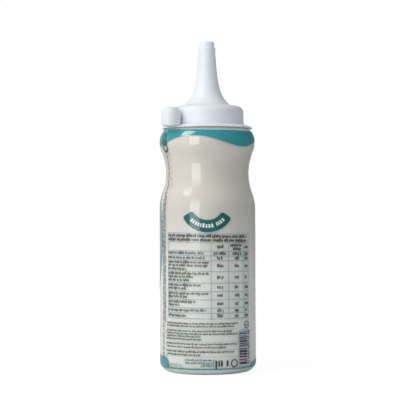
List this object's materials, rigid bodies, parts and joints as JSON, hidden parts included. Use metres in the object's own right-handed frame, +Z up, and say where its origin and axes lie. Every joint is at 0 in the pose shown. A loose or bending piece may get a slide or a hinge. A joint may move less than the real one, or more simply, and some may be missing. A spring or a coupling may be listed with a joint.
{
  "type": "salad dressing bottle",
  "caption": "Waisted clear squeeze bottle of pale dressing in a printed shrink sleeve, with a white nozzle closure and a small cap parked beside the nozzle.",
  "frame": {"origin": "centre of the foot on the surface that the bottle stands on", "axes": "+Z up along the bottle, -Y is the side with the back label"},
  "size_m": [0.053, 0.053, 0.181],
  "materials": {
    "clear_plastic": "clear moulded plastic",
    "dressing": "smooth creamy dressing",
    "sleeve_film": "clear gloss film, printed",
    "white_plastic": "satin moulded white"
  },
  "bodies": {
    "root": {"bottle": "clear_plastic", "dressing": "dressing", "sleeve": "sleeve_film", "closure": "white_plastic", "tip_cap": "white_plastic"}
  },
  "joints": []
}
